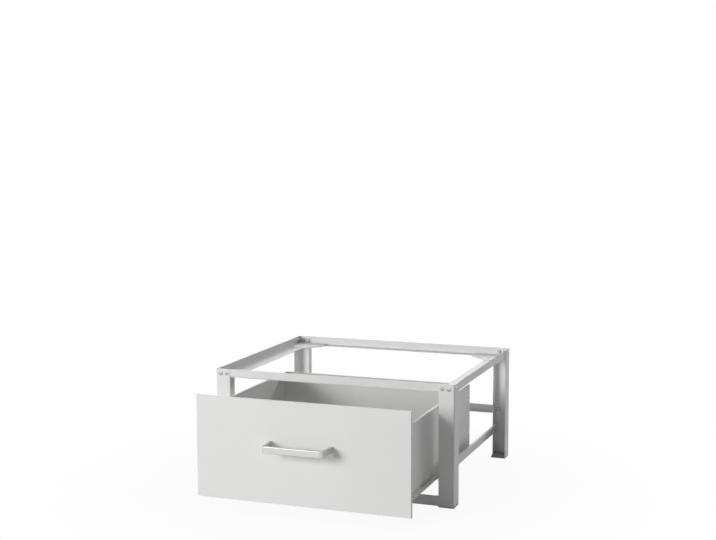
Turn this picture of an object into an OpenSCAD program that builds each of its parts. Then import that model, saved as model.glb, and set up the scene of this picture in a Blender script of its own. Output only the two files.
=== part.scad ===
/* [Pedestal] */
// Width over the legs' outer faces
frame_w = 632; // [600:1:680]
// Depth over the legs' front and rear faces
frame_d = 540; // [530:5:600]
// Height from the floor to the top of the rim
frame_h = 303; // [290:1:380]
// Sheet thickness of the legs and rails
steel_t = 1.5; // [1.2:0.1:2]
// Inside bend radius of the legs and rails
bend_r = 1.5; // [1:0.1:2]

/* [Legs] */
// Width of a leg's front or rear web
leg_w = 39.5; // [36:0.5:46]
// Depth of a leg's outer flange
leg_side = 41; // [38:1:50]
// Depth of a leg's inner flange
leg_lip = 25; // [24:0.5:34]
// Thickness of the foot pad under a leg
foot_t = 3; // [2:0.5:5]
// Height of the foot pad's plug inside the leg
foot_plug = 5; // [3:0.5:5]
// Clearance between the plug and the inside of the leg
foot_clear = 0.2; // [0.1:0.05:0.3]

/* [Top rim] */
// Height of the rim that keeps the machine in place
rim_h = 21; // [20:1:26]
// Width of the side rails' shelves
side_shelf = 45; // [40:1:60]
// Width of the front and rear rails' shelves
end_shelf = 30; // [24:1:40]
// Side length of the corner plates that carry the machine's feet
plate_w = 85; // [78:1:100]
// Thickness of the corner plates
plate_t = 2; // [1.5:0.25:2.5]
// Edge of a corner plate left straight beside its slanted cut
plate_edge = 45; // [38:1:60]

/* [Lower rails] */
// Height of the bottom rail at the front
bottom_rail_h = 24; // [20:1:25]
// Depth of the cross members' flanges
member_flange = 8; // [6:0.5:10]
// Lap of the cross members over the legs
member_lap = 21.5; // [18:0.5:26]
// Height of the rear cross rail
cross_rail_h = 23; // [20:1:30]
// Height of the rear cross rail's lower edge above the floor
cross_rail_z = 118; // [95:1:150]
// Height of the side rails' lower edge over that of the slides
side_rail_up = 4; // [2:0.5:5]
// Strip of the side rail that stands above the slide
side_rail_above = 12; // [11:0.5:16]
// Width of the side rail's top flange
side_rail_flange = 8; // [7:0.5:12]

/* [Slides] */
// Height of the slides' lower edge above the floor
slide_z = 60; // [55:1:75]
// Space for the slide between the leg and the drawer
slide_space = 12.5; // [12:0.1:14]
// Sheet thickness of the slide channels and runners
slide_t = 1.2; // [1:0.1:1.3]
// Radius of the rollers
roller_r = 6.5; // [6:0.25:8]
// Width of the rollers
roller_w = 6; // [5:0.25:6.5]
// Radius of the roller axles
axle_r = 2; // [1.5:0.1:2.5]
// Radial clearance of a roller on its axle
axle_clear = 0.06; // [0.04:0.01:0.1]
// Gap between a roller and the sheet that it runs on
run_gap = 0.3; // [0.25:0.05:0.4]
// Play of a roller along its axle, on each side
roller_play = 0.3; // [0.2:0.05:0.4]
// Depth of the slide channel's flanges, over its web
channel_w = 8.5; // [7.5:0.1:9]
// Play between the runner's flange and the channel above it
top_play = 0.8; // [0.6:0.1:1.2]
// Width of the runner's flange under the drawer
runner_foot = 14; // [12:0.5:20]
// Distance the drawer is pulled out at rest
pull_out = 194; // [150:1:250]
// Full travel of the drawer
travel = 375; // [350:1:390]

/* [Drawer box] */
// Gap between the drawer's back wall and the legs' rear faces, drawer shut
drawer_gap = 24; // [22:1:35]
// Sheet thickness of the drawer box
sheet_t = 1; // [0.8:0.1:1.2]
// Inside bend radius of the drawer box
sheet_r = 1; // [0.6:0.1:1.4]
// Height of the drawer box's side walls
box_h = 179.3; // [160:0.1:190]
// Width of the hem turned in along the top of the walls
hem_w = 8; // [6:0.5:10]
// Width of the flanges that join the box's walls and floor
box_flange = 12; // [10:0.5:16]

/* [Drawer front] */
// Thickness of the drawer front
front_t = 9; // [7.5:0.5:12]
// Sheet thickness of the drawer front
front_sheet = 1.2; // [1:0.1:1.5]
// Gap between the drawer front and each leg
front_gap = 4; // [3:0.1:6]
// Gap between the drawer front and the bottom rail
front_gap_low = 1; // [1:0.1:2]
// Gap between the drawer front and the front top rail
front_gap_high = 5; // [3:0.1:7]
// Width of the lips folded in behind the drawer front
front_lip = 25; // [23:0.5:34]
// Rounding of the drawer front's edges
front_round = 1.6; // [0.8:0.1:2]

/* [Handle] */
// Width over the ends of the handle's bar
handle_w = 154; // [130:1:220]
// Distance that each leg of the handle leans outwards on its way to the drawer front
handle_splay = 4; // [0:0.5:6]
// Distance from the drawer front to the handle's outer face
handle_out = 56; // [40:0.5:65]
// Height of the handle's bar
handle_bar_h = 16.5; // [14:0.5:20]
// Thickness of the handle's bar
handle_bar_t = 7; // [6.5:0.5:8.5]
// Outer radius of the handle's bent corners
handle_bend = 8.5; // [8.5:0.5:16]
// Height of the handle above the middle of the drawer front
handle_lift = 19.5; // [0:0.5:30]

/* [Fasteners] */
// Radius of the frame bolts
bolt_r = 3; // [2.5:0.25:3]
// Radius of the small screws
screw_r = 2; // [1.75:0.05:2.1]
// Radius of the blind rivets
rivet_r = 1.6; // [1.4:0.1:1.8]
// Clearance of a bolt, screw or rivet in its hole
hole_clear = 0.2; // [0.1:0.05:0.3]
// Distance of the inner rim bolts from the leg's inner edge
rim_bolt_in = 10; // [8.5:0.25:10]
// Distance of the outer rim bolts from the leg's outer face
rim_bolt_out = 13; // [12.5:0.25:14]

/* [Hidden] */
$fn = 48;
EPS = 0.01;

// Bend allowance: outside radius of a fold
steel_s = bend_r + steel_t;
slide_bend = 0.8;
slide_s = slide_bend + slide_t;
sheet_s = sheet_r + sheet_t;

// Frame planes, with y = 0 on the front faces of the front legs
x_out = frame_w / 2;
x_in = x_out - leg_w;
wall_x = x_in - slide_space;
shelf_z = frame_h - rim_h;
end_clear = 0.5;
corner_clear = steel_t + max(bend_r, steel_t) + end_clear;
bottom_rail_z = foot_t;

// Rim bolts
rim_bolt_z = shelf_z + steel_t + plate_t + 6.5;
rim_bolt_y = 15;
rim_bolts_x = [x_in + rim_bolt_in, x_out - rim_bolt_out];
member_bolt_x = x_in + 10.3;

// Bolt, nut and screw heads
bolt_head_r = 1.65 * bolt_r;
cap_head_r = 2.1 * bolt_r;
bolt_head_h = 2.4;
nut_r = 1.9 * bolt_r;
nut_h = 1.6 * bolt_r;
rim_grip = 2 * steel_t;
plate_inset = rim_grip + nut_h + end_clear;
screw_head_r = 1.8 * screw_r;
screw_head_h = 2;
screw_nut_r = 1.95 * screw_r;
screw_nut_h = 1.6 * screw_r;
rivet_head_r = 1.9 * rivet_r;
rivet_head_h = 0.9;
flush_head_h = 1.2;

// Slide heights, built up from the channel's lower edge
axle_z = slide_z + slide_t + run_gap + roller_r;
flange_z = axle_z + roller_r + run_gap;
channel_h = flange_z + slide_t + top_play + slide_t - slide_z;
side_rail_z = slide_z + side_rail_up;
side_rail_h = channel_h + side_rail_above - side_rail_up;

// Slide lengths, with the drawer shut
drawer_d = frame_d - drawer_gap;
stop_gap = 1;
tab_y0 = front_t + 1;
channel_y0 = leg_lip - 1;
front_axle_y = channel_y0 + stop_gap + roller_r;
rear_axle_y = drawer_d - 12;
channel_y1 = rear_axle_y + roller_r + stop_gap + slide_t;
lug_h = 2;
lug_l = 5;
lug_y = rear_axle_y - travel - sqrt(pow(roller_r, 2) - pow(roller_r - lug_h, 2)) - stop_gap / 2;
axle_head_h = 1.2;
axle_head_r = axle_r + 1.4;
axle_fit = 0.02;

// Screws that hold the slide channel and the side rail to the legs' inner flanges,
// in flat tabs before the channel's front end and behind its rear end
slide_fixings = [
    [(tab_y0 + channel_y0) / 2, slide_z + channel_h + 3],
    [frame_d - (leg_lip + steel_s) / 2, axle_z]
];
tab_rise = 8;

// Runner and drawer box heights
runner_h = flange_z + slide_t - slide_z;
runner_w = slide_space - slide_t - 1;
box_z = slide_z + slide_t;
floor_z = box_z + sheet_t;
box_top = box_z + box_h;
runner_y0 = front_t + 0.3;
runner_y1 = rear_axle_y + roller_r;
rivet_rows = [0.1, 0.5, 0.86];

// Drawer front
front_w = 2 * (x_in - front_gap);
front_z = bottom_rail_z + bottom_rail_h + front_gap_low;
front_h = shelf_z - front_gap_high - front_z;
handle_z = front_z + front_h / 2 + handle_lift;
handle_lean = atan(handle_splay / (handle_out - handle_bend));
handle_screw_l = 9;
handle_x = handle_w / 2 + handle_splay - (handle_bar_t + handle_screw_l * tan(handle_lean)) / 2;
panel_screw_x = (front_w / 2 - front_lip + wall_x) / 2;
panel_screw_z = [for (k = [0.18, 0.5, 0.82]) box_z + k * box_h];

// The origin is under the middle of the whole part, drawer pulled out
y_rear = frame_d + steel_t + bolt_head_h;
y_front = -pull_out - handle_out;
y_mid = (y_rear + y_front) / 2;

// ---------- Placing ----------

// Frame pieces, moved from the legs' front plane to the origin
module in_frame() { translate([0, -y_mid, 0]) children(); }

// Drawer pieces, drawn shut and then pulled out
module in_drawer() { translate([0, -y_mid - pull_out, 0]) children(); }

// side is -1 on the left and 1 on the right
module on_side(side) { if (side < 0) mirror([1, 0, 0]) children(); else children(); }

// end is -1 at the front and 1 at the rear of the frame
module at_end(end) {
    if (end < 0) children();
    else translate([0, frame_d, 0]) mirror([0, 1, 0]) children();
}

// ---------- Folded sheet ----------

// Quarter of a ring in the first quadrant
module quarter_ring(t, r) {
    intersection() {
        difference() { circle(r + t); circle(r); }
        square(r + t);
    }
}

// Section of a folded sheet: flat runs joined by bends, 1 to the left and -1 to the right
module folded(t, r, runs, turns, i = 0) {
    square([runs[i], t]);
    if (i < len(turns)) translate([runs[i], 0]) {
        if (turns[i] > 0) {
            translate([0, r + t]) rotate(-90) quarter_ring(t, r);
            translate([r + t, r + t]) rotate(90) folded(t, r, runs, turns, i + 1);
        } else {
            translate([0, -r]) quarter_ring(t, r);
            translate([r, -r]) rotate(-90) folded(t, r, runs, turns, i + 1);
        }
    }
}

// Section drawn in X and Z, run along Y from y0 to y1
module along_y(y0, y1) {
    translate([0, y1, 0]) rotate([90, 0, 0]) linear_extrude(y1 - y0) children();
}

// Section drawn in Y and Z, run along X from x0 to x1
module along_x(x0, x1) {
    translate([x0, 0, 0]) rotate([90, 0, 90]) linear_extrude(x1 - x0) children();
}

// Round hole or pin along X or Y, centred on its middle point
module pin_x(r, l) { rotate([0, 90, 0]) cylinder(r = r, h = l, center = true); }
module pin_y(r, l) { rotate([90, 0, 0]) cylinder(r = r, h = l, center = true); }

// ---------- Fasteners ----------

// Domed bolt along Z: head above z = 0, shank below, hexagon socket in the head
module bolt(r, l, head_r, head_h) {
    dome = (pow(head_r, 2) + pow(head_h, 2)) / (2 * head_h);
    difference() {
        rotate_extrude() {
            intersection() {
                translate([0, head_h - dome]) circle(dome, $fn = 96);
                square([head_r, head_h + EPS]);
            }
            translate([0, -l]) square([r, l + EPS]);
        }
        translate([0, 0, head_h * 0.4]) cylinder(r = 0.62 * r, h = head_h, $fn = 6);
    }
}

// Hexagon nut along Z, from z = 0 down
module nut(r, nut_r, h) {
    translate([0, 0, -h]) difference() {
        cylinder(r = nut_r, h = h, $fn = 6);
        translate([0, 0, -1]) cylinder(r = r + 0.05, h = h + 2);
    }
}

// Flat rivet along Z: low head above z = 0, shank down to its closed end
module rivet(r, l, head_r, head_h) {
    cylinder(r1 = head_r, r2 = head_r * 0.8, h = head_h);
    translate([0, 0, -l]) cylinder(r = r, h = l + head_h / 2);
}

// Flush rivet along Z: countersunk head that ends at z = 0, shank down to its closed end
module flush_rivet(r, l, head_h) {
    translate([0, 0, -head_h]) cylinder(r1 = r, r2 = r + head_h, h = head_h);
    translate([0, 0, -l]) cylinder(r = r, h = l - head_h / 2);
}

// ---------- Frame ----------

module leg_section() {
    translate([x_in, leg_lip]) rotate(-90)
        folded(steel_t, bend_r, [leg_lip - steel_s, leg_w - 2 * steel_s, leg_side - steel_s], [1, 1]);
}

// Front right leg, with the height of the cross member's bolt and the place of the slide's screw
module leg(low_bolt_z, slide_screw) {
    difference() {
        translate([0, 0, foot_t]) linear_extrude(frame_h - foot_t) leg_section();
        // Notch that lets the rim rails into the leg
        translate([x_in - 1, steel_t, shelf_z]) cube([steel_s + 1.5, leg_lip, rim_h + 1]);
        for (x = rim_bolts_x)
            translate([x, 0, rim_bolt_z]) pin_y(bolt_r + hole_clear, 4 * steel_t);
        translate([member_bolt_x, 0, low_bolt_z]) pin_y(bolt_r + hole_clear, 4 * steel_t);
        translate([x_out, rim_bolt_y, rim_bolt_z]) pin_x(bolt_r + hole_clear, 4 * steel_t);
        translate([x_in, slide_screw[0], slide_screw[1]]) pin_x(screw_r + hole_clear, 4 * steel_t);
    }
}

module front_leg(side) {
    color("white") in_frame() on_side(side)
        leg(bottom_rail_z + bottom_rail_h / 2, slide_fixings[0]);
}

module rear_leg(side) {
    color("white") in_frame() on_side(side) at_end(1)
        leg(cross_rail_z + cross_rail_h / 2, [frame_d - slide_fixings[1][0], slide_fixings[1][1]]);
}

// Plastic pad under a leg, with a plug that holds it in the channel
module foot(side, end) {
    color("lightgrey") in_frame() on_side(side) at_end(end) {
        linear_extrude(foot_t) difference() {
            translate([x_in, 0]) square([leg_w, leg_side]);
            // Rounded corners that follow the leg's bends
            for (k = [0, 1]) translate([k ? x_out : x_in, 0]) difference() {
                translate([k ? -steel_s : 0, 0]) square(steel_s);
                translate([k ? -steel_s : steel_s, steel_s]) circle(steel_s);
            }
        }
        inset = steel_t + bend_r + foot_clear;
        translate([x_in + steel_t + foot_clear, inset, foot_t - EPS])
            cube([leg_w - 2 * (steel_t + foot_clear), leg_side - inset - 1, foot_plug + EPS]);
    }
}

// Front or rear rail of the rim: an angle whose lip runs on into the legs
module end_top_rail(end) {
    shelf_x = x_out - steel_t - side_shelf - 0.3;
    lip_x = x_out - corner_clear;
    color("white") in_frame() at_end(end) difference() {
        union() {
            along_x(-shelf_x, shelf_x) translate([steel_t, frame_h]) rotate(-90)
                folded(steel_t, bend_r, [rim_h - steel_s, end_shelf - steel_s], [1]);
            translate([-lip_x, steel_t, shelf_z + steel_s])
                cube([2 * lip_x, steel_t, rim_h - steel_s]);
        }
        for (side = [-1, 1]) {
            for (x = rim_bolts_x) translate([side * x, 1.5 * steel_t, rim_bolt_z])
                pin_y(bolt_r + hole_clear, 3 * steel_t);
            on_side(side) translate([plate_rivets_xy[0][0], plate_rivets_xy[0][1], shelf_z])
                cylinder(r = rivet_r + hole_clear, h = 4 * steel_t, center = true);
        }
    }
}

// Side rail of the rim: an angle with a wide shelf under the machine's feet
module side_top_rail(side) {
    lip_x = x_out - steel_t;
    color("white") in_frame() on_side(side) difference() {
        along_y(corner_clear, frame_d - corner_clear) translate([lip_x - side_shelf, shelf_z])
            folded(steel_t, bend_r, [side_shelf - steel_s, rim_h - steel_s], [1]);
        for (end = [-1, 1]) at_end(end) {
            translate([lip_x, rim_bolt_y, rim_bolt_z]) pin_x(bolt_r + hole_clear, 4 * steel_t);
            for (k = [1, 2]) translate([plate_rivets_xy[k][0], plate_rivets_xy[k][1], shelf_z])
                cylinder(r = rivet_r + hole_clear, h = 4 * steel_t, center = true);
        }
    }
}

// Outer corner of a corner plate, clear of the nuts of the rim's bolts
plate_x = x_out - plate_inset;
plate_y = plate_inset;

// Rivets of a corner plate: one in the end rail's shelf, two in the side rail's shelf
plate_rivets_xy = [
    [x_out - steel_t - side_shelf - 12, steel_t + end_shelf - 10],
    [plate_x - 8, plate_y + plate_w - 9],
    [plate_x - 30, plate_y + plate_w - 9]
];

// Square plate with its inner corner cut off, riveted onto two rails
module corner_plate(side, end) {
    color("white") in_frame() on_side(side) at_end(end) translate([0, 0, shelf_z + steel_t])
        difference() {
            linear_extrude(plate_t) polygon([
                [plate_x, plate_y],
                [plate_x, plate_y + plate_w],
                [plate_x - plate_edge, plate_y + plate_w],
                [plate_x - plate_w, plate_y + plate_edge],
                [plate_x - plate_w, plate_y]
            ]);
            for (p = plate_rivets_xy) translate(p) {
                translate([0, 0, -1]) cylinder(r = rivet_r + hole_clear, h = plate_t + 1);
                // Countersink, a little taller than the head so that its rim is cut through
                translate([0, 0, plate_t - flush_head_h])
                    cylinder(r1 = rivet_r, r2 = rivet_r + flush_head_h + 1, h = flush_head_h + 1);
            }
        }
}

// Shallow channel across the frame, with flat ends bolted onto the legs
module cross_member(h) {
    flange_x = x_in - 1;
    end_x = x_in + member_lap;
    dimple_w = 9;
    dimple_h = 4.5;
    difference() {
        union() {
            along_x(-flange_x, flange_x) translate([member_flange - steel_t, 0]) mirror([1, 0])
                folded(steel_t, bend_r,
                    [member_flange - steel_s, h - 2 * steel_s, member_flange - steel_s], [1, 1]);
            for (side = [-1, 1]) on_side(side) translate([flange_x - 4, -steel_t, steel_s])
                cube([end_x - flange_x + 4, steel_t, h - 2 * steel_s]);
            for (side = [-1, 1]) on_side(side) translate([flange_x, -steel_t, 0])
                cube([end_x - flange_x, steel_t, h]);
        }
        for (side = [-1, 1]) on_side(side) {
            translate([member_bolt_x, -steel_t, h / 2]) pin_y(bolt_r + hole_clear, 4 * steel_t);
            // Shallow oblong pressing beside each leg
            translate([x_in - dimple_w - 1, -steel_t - 1, h / 2]) rotate([-90, 0, 0])
                linear_extrude(1 + steel_t / 2) {
                    for (dx = [dimple_h / 2, dimple_w - dimple_h / 2])
                        translate([dx, 0]) circle(dimple_h / 2);
                    translate([dimple_h / 2, -dimple_h / 2]) square([dimple_w - dimple_h, dimple_h]);
                }
        }
    }
}

module front_bottom_rail() {
    color("white") in_frame() translate([0, 0, bottom_rail_z]) cross_member(bottom_rail_h);
}

module rear_cross_rail() {
    color("white") in_frame() at_end(1) translate([0, 0, cross_rail_z]) cross_member(cross_rail_h);
}

// Angle from web to web inside the legs, lapped on their inner flanges
module lower_side_rail(side) {
    y0 = steel_s + 0.5;
    plate_x = x_in + steel_t;
    color("white") in_frame() on_side(side) difference() {
        along_y(y0, frame_d - y0) translate([plate_x, side_rail_z]) rotate(90) mirror([0, 1])
            folded(steel_t, bend_r, [side_rail_h - steel_s, side_rail_flange - steel_s], [1]);
        for (p = slide_fixings) translate([plate_x, p[0], p[1]])
            pin_x(screw_r + hole_clear, 4 * steel_t);
    }
}

// ---------- Slides ----------

// Channel that opens towards the drawer, with a flat tab at each end, an axle at the front,
// a stop at the rear, and a lug that stops the drawer's roller when it is pulled out
module slide_channel(side) {
    web_x = x_in - slide_t;
    lip_x = x_in - channel_w;
    color("gainsboro") in_frame() on_side(side) difference() {
        union() {
            along_y(channel_y0, channel_y1) translate([lip_x, slide_z])
                folded(slide_t, slide_bend,
                    [channel_w - slide_s, channel_h - 2 * slide_s, channel_w - slide_s], [1, 1]);
            translate([web_x, tab_y0, slide_z + slide_s])
                cube([slide_t, channel_y0 + EPS - tab_y0, channel_h - slide_s + tab_rise]);
            translate([web_x, channel_y1 - EPS, slide_z + slide_s])
                cube([slide_t, frame_d - steel_s - 1 - channel_y1, channel_h - 2 * slide_s]);
            translate([lip_x, channel_y1 - slide_t, slide_z + slide_t - EPS])
                cube([channel_w - slide_t + EPS, slide_t, channel_h - 2 * slide_t + 2 * EPS]);
            translate([lip_x, lug_y - lug_l, slide_z + slide_t - EPS])
                cube([channel_w - slide_s, lug_l, lug_h + EPS]);
        }
        for (p = slide_fixings) translate([x_in, p[0], p[1]]) pin_x(screw_r + hole_clear, 4 * slide_t);
        translate([x_in, front_axle_y, axle_z]) pin_x(axle_r + axle_fit, 4 * slide_t);
    }
}

// Axle along +X from its flush end at x = 0 to its head
module axle(l) {
    rotate([0, 90, 0]) {
        cylinder(r = axle_r, h = l - axle_head_h / 2);
        translate([0, 0, l - axle_head_h]) cylinder(r1 = axle_head_r, r2 = axle_head_r * 0.8, h = axle_head_h);
    }
}

// Plastic roller along X, centred on its axle, with a recess in each face
module roller_shape() {
    bore = axle_r + axle_clear;
    edge = 0.5;
    rotate([0, 90, 0]) rotate_extrude() polygon([
        [bore, -roller_w / 2], [axle_head_r, -roller_w / 2],
        [axle_head_r + 0.4, -roller_w / 2 + 0.6], [roller_r - 1.6, -roller_w / 2 + 0.6],
        [roller_r - 1.3, -roller_w / 2], [roller_r - edge, -roller_w / 2],
        [roller_r, -roller_w / 2 + edge], [roller_r, roller_w / 2 - edge],
        [roller_r - edge, roller_w / 2], [roller_r - 1.3, roller_w / 2],
        [roller_r - 1.6, roller_w / 2 - 0.6], [axle_head_r + 0.4, roller_w / 2 - 0.6],
        [axle_head_r, roller_w / 2], [bore, roller_w / 2]
    ]);
}

// Middles of the rollers: the front ones sit by the channel, the rear ones by the runner
front_roller_x = x_in - slide_t - roller_play - roller_w / 2;
rear_roller_x = wall_x + slide_t + roller_play + roller_w / 2;
axle_l = slide_t + 2 * roller_play + roller_w + axle_head_h;

module front_roller(side) {
    color("ivory") in_frame() on_side(side)
        translate([front_roller_x, front_axle_y, axle_z]) roller_shape();
}

module rear_roller(side) {
    color("ivory") in_drawer() on_side(side)
        translate([rear_roller_x, rear_axle_y, axle_z]) roller_shape();
}

module channel_axles() {
    color("silver") in_frame() for (side = [-1, 1]) on_side(side)
        translate([x_in, front_axle_y, axle_z]) mirror([1, 0, 0]) axle(axle_l);
}

module runner_axles() {
    color("silver") in_drawer() for (side = [-1, 1]) on_side(side)
        translate([wall_x, rear_axle_y, axle_z]) axle(axle_l);
}

// Z-shaped runner: under the drawer, up its wall, and out over the front roller
module runner(side) {
    color("gainsboro") in_drawer() on_side(side) difference() {
        along_y(runner_y0, runner_y1) translate([wall_x + slide_t - runner_foot, slide_z])
            folded(slide_t, slide_bend,
                [runner_foot - slide_s, runner_h - 2 * slide_s, runner_w - slide_s], [1, -1]);
        for (y = runner_rivets_y)
            translate([wall_x, y, axle_z]) pin_x(rivet_r + hole_clear, 4 * slide_t);
        translate([wall_x, rear_axle_y, axle_z]) pin_x(axle_r + axle_fit, 4 * slide_t);
    }
}

runner_rivets_y = [for (k = rivet_rows) runner_y0 + k * (runner_y1 - runner_y0)];

// ---------- Drawer box ----------

wall_in = wall_x - sheet_t;
floor_rivets_y = [for (k = [0.08, 0.36, 0.64, 0.92]) front_t + k * (drawer_d - front_t)];
floor_rivet_x = wall_x - box_flange + 4;
corner_rivets_z = [for (k = [0.25, 0.8]) box_z + k * box_h];
end_flange = 12;

// Side wall: flange under the floor, wall, and a hem turned in, notched for the end walls' hems
module drawer_side(side) {
    notch = hem_w + 0.4;
    color("white") in_drawer() on_side(side) difference() {
        along_y(front_t, drawer_d) translate([wall_x - box_flange, box_z])
            folded(sheet_t, sheet_r,
                [box_flange - sheet_s, box_h - 2 * sheet_s, hem_w - sheet_s], [1, 1]);
        for (y = [front_t - 1, drawer_d - notch]) translate([wall_in - hem_w, y, box_top - sheet_s])
            cube([hem_w, notch + 1, sheet_s + 1]);
        for (y = runner_rivets_y)
            translate([wall_x, y, axle_z]) pin_x(rivet_r + hole_clear, 6 * sheet_t);
        for (y = [front_t + end_flange / 2 + 1, drawer_d - end_flange / 2 - 1], z = corner_rivets_z)
            translate([wall_x, y, z]) pin_x(rivet_r + hole_clear, 6 * sheet_t);
        for (y = floor_rivets_y) translate([floor_rivet_x, y, box_z])
            cylinder(r = rivet_r + hole_clear, h = 6 * sheet_t, center = true);
    }
}

// End wall drawn at the front of the box: floor flange, wall, top hem and side flanges
module end_wall() {
    z0 = floor_z + sheet_t;
    difference() {
        union() {
            along_x(-wall_in, wall_in) translate([end_flange, z0]) mirror([1, 0])
                folded(sheet_t, sheet_r, [
                    end_flange - sheet_s, box_top - z0 - 2 * sheet_s, hem_w - sheet_s
                ], [1, 1]);
            for (side = [-1, 1]) on_side(side)
                translate([wall_in - sheet_t, sheet_t / 2, z0 + sheet_s + 2])
                    cube([sheet_t, end_flange - sheet_t / 2, box_top - z0 - 2 * sheet_s - 4]);
        }
        for (side = [-1, 1], z = corner_rivets_z) on_side(side)
            translate([wall_in, end_flange / 2 + 1, z]) pin_x(rivet_r + hole_clear, 6 * sheet_t);
    }
}

module drawer_inner_front() {
    color("white") in_drawer() translate([0, front_t, 0]) difference() {
        end_wall();
        for (side = [-1, 1]) {
            for (z = panel_screw_z) translate([side * panel_screw_x, 0, z])
                pin_y(screw_r + hole_clear, 6 * sheet_t);
            translate([side * handle_x, 0, handle_z]) pin_y(screw_r + hole_clear, 6 * sheet_t);
        }
    }
}

module drawer_back() {
    color("white") in_drawer() translate([0, drawer_d, 0]) mirror([0, 1, 0]) end_wall();
}

// Floor sheet with raised beads that stiffen it
module drawer_floor() {
    bead_r = 6;
    bead_h = 1.5;
    bead_x = wall_in - 60;
    edge_x = wall_in - sheet_r - 0.2;
    color("white") in_drawer() difference() {
        union() {
            translate([-edge_x, front_t, floor_z])
                cube([2 * edge_x, drawer_d - front_t, sheet_t]);
            for (k = [1 : 4]) translate([0, front_t + k * (drawer_d - front_t) / 5, floor_z + sheet_t / 2])
                linear_extrude(bead_h + sheet_t / 2) {
                    translate([-bead_x, -bead_r]) square([2 * bead_x, 2 * bead_r]);
                    for (side = [-1, 1]) translate([side * bead_x, 0]) circle(bead_r);
                }
        }
        for (side = [-1, 1], y = floor_rivets_y) translate([side * floor_rivet_x, y, floor_z])
            cylinder(r = rivet_r + hole_clear, h = 6 * sheet_t, center = true);
    }
}

// ---------- Drawer front and handle ----------

// Rectangle w by h with rounded corners, centred
module rounded_rect(w, h, r) {
    square([w - 2 * r, h], center = true);
    square([w, h - 2 * r], center = true);
    for (x = [-1, 1], y = [-1, 1]) translate([x * (w / 2 - r), y * (h / 2 - r)]) circle(r);
}

// Folded steel tray: rounded edges, and lips turned in behind
module drawer_front() {
    w = front_w / 2;
    mid = [0, front_t / 2, front_z + front_h / 2];
    color("white") in_drawer() difference() {
        intersection() {
            translate([0, front_t / 2, front_z]) linear_extrude(front_h)
                rounded_rect(front_w, front_t, front_round);
            along_x(-w, w) translate([front_t / 2, front_z + front_h / 2])
                rounded_rect(front_t, front_h, front_round);
        }
        translate(mid) cube([
            front_w - 2 * front_sheet, front_t - 2 * front_sheet, front_h - 2 * front_sheet
        ], center = true);
        translate(mid + [0, front_t / 2, 0])
            cube([front_w - 2 * front_lip, front_t, front_h - 2 * front_lip], center = true);
        for (side = [-1, 1]) {
            translate([side * handle_x, 0, handle_z]) pin_y(screw_r + hole_clear, 6 * front_sheet);
            for (z = panel_screw_z) translate([side * panel_screw_x, front_t, z])
                pin_y(screw_r + hole_clear, 4 * front_sheet);
        }
    }
}

// Bent rectangular bar on two legs that lean outwards a little
module handle() {
    mid_r = handle_bend - handle_bar_t / 2;
    color("silver") in_drawer() translate([0, 0, handle_z]) difference() {
        union() {
            along_x(-handle_w / 2 + handle_bend, handle_w / 2 - handle_bend)
                translate([-handle_out + handle_bar_t / 2, 0])
                    rounded_rect(handle_bar_t, handle_bar_h, front_round);
            for (side = [-1, 1]) on_side(side)
                translate([handle_w / 2 - handle_bend, -handle_out + handle_bend, 0]) {
                    rotate([0, 0, -90]) rotate_extrude(angle = 90 - handle_lean)
                        translate([mid_r, 0])
                            rounded_rect(handle_bar_t, handle_bar_h, front_round);
                    rotate([0, 0, -handle_lean]) along_y(-EPS, handle_out)
                        translate([mid_r, 0])
                            rounded_rect(handle_bar_t, handle_bar_h, front_round);
                }
        }
        // Legs cut off flush with the drawer front
        translate([-handle_w, 0, -handle_bar_h]) cube([2 * handle_w, handle_out, 2 * handle_bar_h]);
        for (side = [-1, 1]) translate([side * handle_x, 0, 0])
            pin_y(screw_r + 0.05, 2 * (handle_screw_l + 1));
    }
}

module handle_screws() {
    l = front_t + sheet_t + handle_screw_l;
    color("dimgrey") in_drawer() for (side = [-1, 1])
        translate([side * handle_x, front_t + sheet_t, handle_z]) rotate([-90, 0, 0])
            bolt(screw_r, l, screw_head_r, screw_head_h);
}

module panel_screws() {
    color("dimgrey") in_drawer() for (side = [-1, 1], z = panel_screw_z)
        translate([side * panel_screw_x, front_t + sheet_t, z]) rotate([-90, 0, 0])
            bolt(screw_r, sheet_t + front_t / 2, screw_head_r, screw_head_h);
}

// Rivets of the box: corners from outside, floor from below
module box_rivets() {
    color("silver") in_drawer() for (side = [-1, 1]) on_side(side) {
        for (y = [front_t + end_flange / 2 + 1, drawer_d - end_flange / 2 - 1], z = corner_rivets_z)
            translate([wall_x, y, z]) rotate([0, 90, 0])
                rivet(rivet_r, 2 * sheet_t, rivet_head_r, rivet_head_h);
        for (y = floor_rivets_y) translate([floor_rivet_x, y, floor_z + sheet_t])
            rivet(rivet_r, 2 * sheet_t, rivet_head_r, rivet_head_h);
    }
}

// Rivets of the runners, with their heads inside the drawer
module runner_rivets() {
    color("silver") in_drawer() for (side = [-1, 1], y = runner_rivets_y) on_side(side)
        translate([wall_in, y, axle_z]) rotate([0, -90, 0])
            rivet(rivet_r, sheet_t + slide_t, rivet_head_r, rivet_head_h);
}

// ---------- Frame fasteners ----------

// Bolts through the legs' webs into the front and rear rails, near the inner edge
module rim_bolts() {
    color("grey") in_frame() for (side = [-1, 1], end = [-1, 1]) on_side(side) at_end(end)
        translate([rim_bolts_x[0], 0, rim_bolt_z]) rotate([90, 0, 0])
            bolt(bolt_r, rim_grip + nut_h, bolt_head_r, bolt_head_h);
}

// The same joint's outer bolts, with wider heads
module rim_cap_bolts() {
    color("grey") in_frame() for (side = [-1, 1], end = [-1, 1]) on_side(side) at_end(end)
        translate([rim_bolts_x[1], 0, rim_bolt_z]) rotate([90, 0, 0])
            bolt(bolt_r, rim_grip + nut_h, cap_head_r, bolt_head_h);
}

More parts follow.
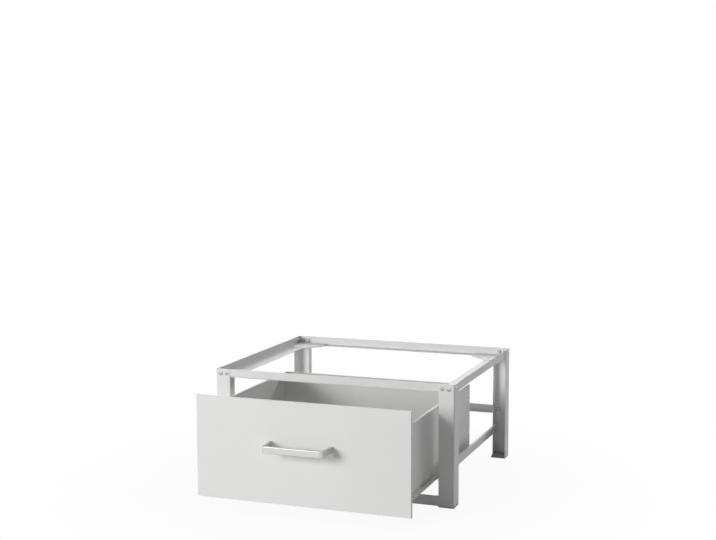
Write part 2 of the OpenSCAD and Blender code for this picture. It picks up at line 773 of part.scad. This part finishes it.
// Bolts through the legs' outer flanges into the side rails
module side_bolts() {
    color("grey") in_frame() for (side = [-1, 1], end = [-1, 1]) on_side(side) at_end(end)
        translate([x_out, rim_bolt_y, rim_bolt_z]) rotate([0, 90, 0])
            bolt(bolt_r, rim_grip + nut_h, bolt_head_r, bolt_head_h);
}

// Bolts of the bottom rail and of the rear cross rail
module member_bolts() {
    color("grey") in_frame() for (side = [-1, 1]) on_side(side) {
        translate([member_bolt_x, -steel_t, bottom_rail_z + bottom_rail_h / 2]) rotate([90, 0, 0])
            bolt(bolt_r, rim_grip + nut_h, bolt_head_r, bolt_head_h);
        at_end(1) translate([member_bolt_x, -steel_t, cross_rail_z + cross_rail_h / 2])
            rotate([90, 0, 0]) bolt(bolt_r, rim_grip + nut_h, bolt_head_r, bolt_head_h);
    }
}

// Nuts of all the frame bolts, inside the legs
module frame_nuts() {
    color("silver") in_frame() for (side = [-1, 1], end = [-1, 1]) on_side(side) at_end(end) {
        low_z = end < 0 ? bottom_rail_z + bottom_rail_h / 2 : cross_rail_z + cross_rail_h / 2;
        for (x = rim_bolts_x) translate([x, rim_grip, rim_bolt_z]) rotate([90, 0, 0])
            nut(bolt_r, nut_r, nut_h);
        translate([x_out - rim_grip, rim_bolt_y, rim_bolt_z]) rotate([0, 90, 0])
            nut(bolt_r, nut_r, nut_h);
        translate([member_bolt_x, steel_t, low_z]) rotate([90, 0, 0]) nut(bolt_r, nut_r, nut_h);
    }
}

// Screws through the slide channels, the legs' inner flanges and the lower side rails
module slide_screws() {
    color("grey") in_frame() for (side = [-1, 1], p = slide_fixings) on_side(side)
        translate([x_in - slide_t, p[0], p[1]]) rotate([0, -90, 0])
            bolt(screw_r, slide_t + rim_grip + screw_nut_h, screw_head_r, screw_head_h);
}

module slide_nuts() {
    color("silver") in_frame() for (side = [-1, 1], p = slide_fixings) on_side(side)
        translate([x_in + rim_grip, p[0], p[1]]) rotate([0, -90, 0])
            nut(screw_r, screw_nut_r, screw_nut_h);
}

// Rivets that hold the corner plates down
module plate_rivets() {
    color("silver") in_frame() for (side = [-1, 1], end = [-1, 1]) on_side(side) at_end(end)
        for (p = plate_rivets_xy) translate([p[0], p[1], shelf_z + steel_t + plate_t])
            flush_rivet(rivet_r, steel_t + plate_t, flush_head_h);
}

front_leg(-1);  // front_leg_left
front_leg(1);  // front_leg_right
rear_leg(-1);  // rear_leg_left
rear_leg(1);  // rear_leg_right
foot(-1, -1);  // foot_front_left
foot(1, -1);  // foot_front_right
foot(-1, 1);  // foot_rear_left
foot(1, 1);  // foot_rear_right
end_top_rail(-1);  // front_top_rail
end_top_rail(1);  // rear_top_rail
side_top_rail(-1);  // side_top_rail_left
side_top_rail(1);  // side_top_rail_right
corner_plate(-1, -1);  // corner_plate_front_left
corner_plate(1, -1);  // corner_plate_front_right
corner_plate(-1, 1);  // corner_plate_rear_left
corner_plate(1, 1);  // corner_plate_rear_right
front_bottom_rail();
rear_cross_rail();
lower_side_rail(-1);  // lower_side_rail_left
lower_side_rail(1);  // lower_side_rail_right
slide_channel(-1);  // slide_channel_left
slide_channel(1);  // slide_channel_right
channel_axles();
rim_bolts();
rim_cap_bolts();
side_bolts();
member_bolts();
frame_nuts();
slide_screws();
slide_nuts();
plate_rivets();
front_roller(-1);  // front_roller_left
front_roller(1);  // front_roller_right
rear_roller(-1);  // rear_roller_left
rear_roller(1);  // rear_roller_right
drawer_front();
drawer_inner_front();
drawer_side(-1);  // drawer_side_left
drawer_side(1);  // drawer_side_right
drawer_back();
drawer_floor();
runner(-1);  // runner_left
runner(1);  // runner_right
runner_axles();
handle();
handle_screws();
panel_screws();
box_rivets();
runner_rivets();
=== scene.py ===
"""Steel pedestal for a washing machine: an open frame on four channel legs, with a rim on top
and a deep drawer that rolls out at the front on two roller slides. Metres, Z up, front to -Y."""

import math

import bmesh
import bpy
from mathutils import Matrix, Vector

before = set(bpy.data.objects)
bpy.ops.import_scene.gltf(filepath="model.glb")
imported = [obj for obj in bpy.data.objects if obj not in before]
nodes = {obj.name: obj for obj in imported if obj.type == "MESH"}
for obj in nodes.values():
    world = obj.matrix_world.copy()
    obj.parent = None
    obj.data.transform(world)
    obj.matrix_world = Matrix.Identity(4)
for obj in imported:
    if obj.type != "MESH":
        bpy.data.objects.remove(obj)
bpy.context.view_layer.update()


# --- Frame ---------------------------------------------------------------------------------
# Four channel legs joined by angle rails at the top and flat channels lower down, all bent
# from 1.5 mm mild steel sheet, cut and punched flat, folded, then powder coated white.

FRAME_PIECES = [
    "front_leg_left", "front_leg_right", "rear_leg_left", "rear_leg_right",
    "front_top_rail", "rear_top_rail", "side_top_rail_left", "side_top_rail_right",
    "corner_plate_front_left", "corner_plate_front_right",
    "corner_plate_rear_left", "corner_plate_rear_right",
    "front_bottom_rail", "rear_cross_rail", "lower_side_rail_left", "lower_side_rail_right",
]


def colour(code):
    """sRGB hex code to linear RGBA."""
    parts = [int(code[i:i + 2], 16) / 255 for i in (1, 3, 5)]
    return tuple(c / 12.92 if c <= 0.04045 else ((c + 0.055) / 1.055) ** 2.4 for c in parts) + (1,)


def add(tree, kind, inputs=None, **settings):
    """Adds a node with its settings; an input takes a value, or an output to link from."""
    node = tree.nodes.new(kind)
    for name, value in settings.items():
        setattr(node, name, value)
    for name, value in (inputs or {}).items():
        if isinstance(value, bpy.types.NodeSocket):
            tree.links.new(value, node.inputs[name])
        else:
            node.inputs[name].default_value = value
    return node


def blank_material(name):
    """An empty material, with its tree, its shader and its coordinates on the object."""
    material = bpy.data.materials.new(name)
    material.use_nodes = True
    tree = material.node_tree
    tree.nodes.clear()
    shader = add(tree, "ShaderNodeBsdfPrincipled")
    add(tree, "ShaderNodeOutputMaterial", {"Surface": shader.outputs["BSDF"]})
    place = add(tree, "ShaderNodeTexCoord").outputs["Object"]
    return material, tree, shader, place


def per_metre(mm):
    """Texture scale at which one cell of noise is that many millimetres wide."""
    return 1000 / mm


def two_tone(tree, factor, low, high):
    """Colour that runs from low, where factor is 0, to high, where it is 1."""
    return add(tree, "ShaderNodeMix", {"Factor": factor, "A": low, "B": high},
               data_type="RGBA").outputs[2]


def ranged(tree, value, low, high):
    """Value brought from the range 0 to 1 to the range low to high."""
    return add(tree, "ShaderNodeMapRange", {
        "Value": value, "To Min": low, "To Max": high}).outputs["Result"]


def bump(tree, height, strength, depth):
    """Normal of a skin whose relief is depth metres."""
    return add(tree, "ShaderNodeBump", {
        "Height": height, "Strength": strength, "Distance": depth}).outputs["Normal"]


def wire(tree, shader, **sockets):
    """Links each output to the shader's input of that name, with _ for a space."""
    for name, output in sockets.items():
        tree.links.new(output, shader.inputs[name.replace("_", " ")])


SPECK_GREY = "#D0D0CE"


def powder_coat(name, base, drift):
    """Baked polyester powder on steel: an even satin white whose skin has a fine orange peel,
    drawn at 4 mm where the real one is 2 mm so that it shows. The tone drifts a little over
    a hand's width, because the film is thicker where the gun passed twice."""
    material, tree, shader, place = blank_material(name)
    cloud = add(tree, "ShaderNodeTexNoise", {
        "Vector": place, "Scale": per_metre(120), "Detail": 3, "Roughness": 0.55}).outputs["Fac"]
    specks = add(tree, "ShaderNodeTexNoise", {
        "Vector": place, "Scale": per_metre(1.2), "Detail": 1}).outputs["Fac"]
    dots = add(tree, "ShaderNodeMapRange", {
        "Value": specks, "From Min": 0.66, "From Max": 0.76, "To Min": 0.0,
        "To Max": 0.12}).outputs["Result"]
    peel = add(tree, "ShaderNodeTexNoise", {
        "Vector": place, "Scale": per_metre(4), "Detail": 2, "Roughness": 0.4}).outputs["Fac"]
    film = two_tone(tree, cloud, colour(drift), colour(base))
    wire(tree, shader, Base_Color=two_tone(tree, dots, film, colour(SPECK_GREY)),
         Roughness=ranged(tree, cloud, 0.38, 0.5), Normal=bump(tree, peel, 0.12, 0.0004))
    shader.inputs["IOR"].default_value = 1.5
    return material


def finish_node(name, material):
    """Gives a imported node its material."""
    mesh = nodes[name].data
    mesh.materials.clear()
    mesh.materials.append(material)


frame_white = powder_coat("powder_coat_frame", "#F2F2F1", "#EDEDEC")
for name in FRAME_PIECES:
    finish_node(name, frame_white)


# --- Foot pads -----------------------------------------------------------------------------
# A low pad under each leg, injection moulded in grey polyethylene, with a plug that is pushed
# up into the channel. It keeps the steel edge off the floor.

FOOT_PIECES = ["foot_front_left", "foot_front_right", "foot_rear_left", "foot_rear_right"]


def moulded_plastic(name, base, dark, rough):
    """Moulded plastic from a spark-eroded tool: matte, with a 0.8 mm grain drawn at 1.5 mm,
    and slightly darker flow clouds where the melt met."""
    material, tree, shader, place = blank_material(name)
    flow = add(tree, "ShaderNodeTexNoise", {
        "Vector": place, "Scale": per_metre(14), "Detail": 2}).outputs["Fac"]
    grain = add(tree, "ShaderNodeTexVoronoi", {
        "Vector": place, "Scale": per_metre(1.5)}).outputs["Distance"]
    wire(tree, shader, Base_Color=two_tone(tree, flow, colour(dark), colour(base)),
         Roughness=ranged(tree, flow, rough - 0.06, rough + 0.06),
         Normal=bump(tree, grain, 0.25, 0.0002))
    shader.inputs["IOR"].default_value = 1.5
    return material


foot_grey = moulded_plastic("moulded_polyethylene_feet", "#A9A9A8", "#9B9B9A", 0.6)
for name in FOOT_PIECES:
    finish_node(name, foot_grey)


# --- Slides --------------------------------------------------------------------------------
# A channel on each side of the frame and a runner on each side of the drawer, rolled from
# 1.2 mm strip and coated with white epoxy.

SLIDE_PIECES = ["slide_channel_left", "slide_channel_right", "runner_left", "runner_right"]


def epoxy_strip(name, base, worn):
    """Thin epoxy coat on rolled strip: a smooth half gloss with faint rolling lines along its
    length, 2 mm apart, and greyer streaks where the rollers have polished it."""
    material, tree, shader, place = blank_material(name)
    along = add(tree, "ShaderNodeMapping", {"Vector": place, "Scale": (1, 0.02, 1)})
    lines = add(tree, "ShaderNodeTexNoise", {
        "Vector": along.outputs["Vector"], "Scale": per_metre(2), "Detail": 3}).outputs["Fac"]
    wire(tree, shader, Base_Color=two_tone(tree, lines, colour(worn), colour(base)),
         Roughness=ranged(tree, lines, 0.3, 0.45), Normal=bump(tree, lines, 0.12, 0.0002))
    shader.inputs["IOR"].default_value = 1.5
    return material


epoxy = epoxy_strip("epoxy_coated_strip", "#E4E4E1", "#D2D2CF")
for name in SLIDE_PIECES:
    finish_node(name, epoxy)


# --- Rollers -------------------------------------------------------------------------------
# Four small wheels moulded in natural acetal, on steel axles riveted into the slides: the front
# pair sits in the channels and carries the runners, the rear pair rides in the channels.

ROLLER_PIECES = ["front_roller_left", "front_roller_right", "rear_roller_left", "rear_roller_right"]

acetal = moulded_plastic("moulded_acetal_rollers", "#E9E6DC", "#DCD8CB", 0.35)
for name in ROLLER_PIECES:
    finish_node(name, acetal)


# --- Bolts, screws, nuts and rivets --------------------------------------------------------
# Button-head bolts of 6 mm with hexagon sockets join the frame, small screws hold the slides
# and the drawer front, and blind rivets join the drawer's sheets. All are zinc plated, but for
# the four bolts of the bottom rail and the cross rail, which are coated white with the frame.

PLATED_PIECES = [
    "rim_bolts", "rim_cap_bolts", "side_bolts", "frame_nuts", "slide_screws", "slide_nuts",
    "plate_rivets", "channel_axles", "runner_axles", "handle_screws", "panel_screws",
    "box_rivets", "runner_rivets",
]


def plated_steel(name, base, dark):
    """Zinc on turned and headed steel: bright grey, with 1 mm tool marks and duller flats."""
    material, tree, shader, place = blank_material(name)
    marks = add(tree, "ShaderNodeTexNoise", {
        "Vector": place, "Scale": per_metre(1), "Detail": 4}).outputs["Fac"]
    wire(tree, shader, Base_Color=two_tone(tree, marks, colour(dark), colour(base)),
         Roughness=ranged(tree, marks, 0.5, 0.68))
    shader.inputs["Metallic"].default_value = 1
    return material


plated = plated_steel("zinc_plated_fasteners", "#BEBFC0", "#A6A7A9")
for name in PLATED_PIECES:
    finish_node(name, plated)
finish_node("member_bolts", frame_white)


# --- Drawer box ----------------------------------------------------------------------------
# Side walls with a hem turned in, two end walls and a floor, folded from 1 mm sheet, riveted
# together and powder coated like the frame.

BOX_PIECES = [
    "drawer_inner_front", "drawer_side_left", "drawer_side_right", "drawer_back", "drawer_floor",
]

box_white = powder_coat("powder_coat_drawer_box", "#F2F2F1", "#ECECEB")
for name in BOX_PIECES:
    finish_node(name, box_white)


# --- Drawer front --------------------------------------------------------------------------
# A flat tray folded from 1.2 mm sheet, its lips turned in behind, powder coated white. It is
# screwed to the box from inside.

front_white = powder_coat("powder_coat_drawer_front", "#F2F2F1", "#EFEFEE")
finish_node("drawer_front", front_white)


# --- Handle --------------------------------------------------------------------------------
# A rectangular stainless steel bar bent twice and brushed along its length. Two screws from
# inside the drawer hold its legs.


def brushed_steel(name, base, dark):
    """Linished stainless: grey metal with hairlines along the bar, 0.3 mm apart and drawn at
    0.8 mm, which stretch each highlight across the bar."""
    material, tree, shader, place = blank_material(name)
    along = add(tree, "ShaderNodeMapping", {"Vector": place, "Scale": (0.03, 0.3, 1)})
    hair = add(tree, "ShaderNodeTexNoise", {
        "Vector": along.outputs["Vector"], "Scale": per_metre(0.8), "Detail": 4,
        "Roughness": 0.7}).outputs["Fac"]
    wire(tree, shader, Base_Color=two_tone(tree, hair, colour(dark), colour(base)),
         Roughness=ranged(tree, hair, 0.38, 0.5), Normal=bump(tree, hair, 0.04, 0.0001))
    shader.inputs["Metallic"].default_value = 1
    shader.inputs["Anisotropic"].default_value = 0.4
    return material


finish_node("handle", brushed_steel("brushed_stainless_handle", "#CDCDCC", "#B9B9B8"))


# --- Studio --------------------------------------------------------------------------------
# A plain white floor that runs out of sight, soft lamps round the object, and the camera at
# the photograph's viewpoint.

FLOOR_SIZE = 40
FLOOR_WHITE = "#FFFFFF"
FLOOR_BOUNCE = "#F2F2F2"

floor_mesh = bpy.data.meshes.new("floor")
floor_edit = bmesh.new()
bmesh.ops.create_grid(floor_edit, x_segments=4, y_segments=4, size=FLOOR_SIZE / 2)
floor_edit.to_mesh(floor_mesh)
floor_edit.free()
floor = bpy.data.objects.new("floor", floor_mesh)
bpy.context.scene.collection.objects.link(floor)

# White where it is seen, and grey as a reflector, so that the object keeps its own shading.
# Its glow grows from NEAR_GLOW round the object, where the shadow lies, to all white far off.
NEAR_GLOW, NEAR, FAR = 0.93, 0.3, 0.9


def shown(tree, rays):
    """1 for rays that show the background: from the camera, a mirror or through glass."""
    total = rays.outputs["Is Camera Ray"]
    for kind in ("Is Glossy Ray", "Is Transmission Ray"):
        total = add(tree, "ShaderNodeMath", {0: total, 1: rays.outputs[kind]},
                    operation="MAXIMUM").outputs["Value"]
    return total


material = bpy.data.materials.new("studio_floor")
material.use_nodes = True
tree = material.node_tree
tree.nodes.clear()
rays = add(tree, "ShaderNodeLightPath")
tint = two_tone(tree, rays.outputs["Is Camera Ray"], colour(FLOOR_BOUNCE), colour(FLOOR_WHITE))
matte = add(tree, "ShaderNodeBsdfDiffuse", {"Color": tint})
glow = add(tree, "ShaderNodeEmission", {"Color": (1, 1, 1, 1), "Strength": 1})
place = add(tree, "ShaderNodeTexCoord").outputs["Object"]
reach = add(tree, "ShaderNodeVectorMath", {0: place}, operation="LENGTH")
spread = add(tree, "ShaderNodeMapRange", {
    "Value": reach.outputs["Value"], "From Min": NEAR, "From Max": FAR, "To Min": NEAR_GLOW,
    "To Max": 1.0}, interpolation_type="SMOOTHSTEP")
share = add(tree, "ShaderNodeMath", {0: shown(tree, rays), 1: spread.outputs["Result"]},
            operation="MULTIPLY")
mixed = add(tree, "ShaderNodeMixShader", {
    "Fac": share.outputs[0], 1: matte.outputs["BSDF"], 2: glow.outputs["Emission"]})
add(tree, "ShaderNodeOutputMaterial", {"Surface": mixed.outputs["Shader"]})
floor_mesh.materials.append(material)

# Light that reaches the object from all round, as a share of white.
AMBIENT = 0.06

world = bpy.data.worlds.new("studio")
bpy.context.scene.world = world
world.use_nodes = True
tree = world.node_tree
tree.nodes.clear()
rays = add(tree, "ShaderNodeLightPath")
sky = add(tree, "ShaderNodeBackground", {
    "Color": (1, 1, 1, 1), "Strength": ranged(tree, shown(tree, rays), AMBIENT, 1)})
add(tree, "ShaderNodeOutputWorld", {"Surface": sky.outputs["Background"]})


def softbox(name, place, aim, size, watts):
    """A square studio lamp of that size in metres at place, facing aim."""
    lamp = bpy.data.lights.new(name, "AREA")
    lamp.shape = "SQUARE"
    lamp.size = size
    lamp.energy = watts
    holder = bpy.data.objects.new(name, lamp)
    holder.location = place
    holder.rotation_euler = (Vector(aim) - Vector(place)).to_track_quat("-Z", "Y").to_euler()
    bpy.context.scene.collection.objects.link(holder)


# A low key from the front left, a small lamp behind that draws the light strip on the drawer's
# side, a wide one behind that lights the hems and the rear, and a little light from above.
CENTRE = (0, -0.1, 0.15)
softbox("key_left", (-3.00, -5.70, 1.98), CENTRE, 2.4, 268)
softbox("fill_back_right", (2.01, 3.38, 1.94), CENTRE, 0.7, 36)
softbox("fill_back_left", (-1.50, 3.95, 1.35), CENTRE, 2.4, 43)
softbox("fill_top", (-0.20, -0.30, 4.50), CENTRE, 1.8, 20)

# The camera that a fit to the photograph's straight edges gave: focal length in the pixels of
# a picture PHOTO_WIDTH wide, place in metres, angles in degrees.
PHOTO_WIDTH = 716
SENSOR = 36.0
FOCAL_PIXELS = 1298.98
CAMERA_PLACE = (1.17292, -3.07594, 0.93061)
YAW, PITCH, ROLL = -20.6058, -6.5659, -0.1865

yaw, pitch, roll = (math.radians(a) for a in (YAW, PITCH, ROLL))
ahead = Vector((
    math.sin(yaw) * math.cos(pitch), math.cos(yaw) * math.cos(pitch), math.sin(pitch)))
level_right = ahead.cross(Vector((0, 0, 1))).normalized()
level_up = level_right.cross(ahead)
right = level_right * math.cos(roll) + level_up * math.sin(roll)
up = level_up * math.cos(roll) - level_right * math.sin(roll)
camera_data = bpy.data.cameras.new("camera")
camera_data.sensor_width = SENSOR
camera_data.lens = FOCAL_PIXELS * SENSOR / PHOTO_WIDTH
camera_data.clip_end = 100
camera = bpy.data.objects.new("camera", camera_data)
turn = Matrix((right, up, -ahead)).transposed().to_4x4()
camera.matrix_world = Matrix.Translation(CAMERA_PLACE) @ turn
bpy.context.scene.collection.objects.link(camera)
bpy.context.scene.camera = camera
bpy.context.scene.view_settings.view_transform = "Standard"
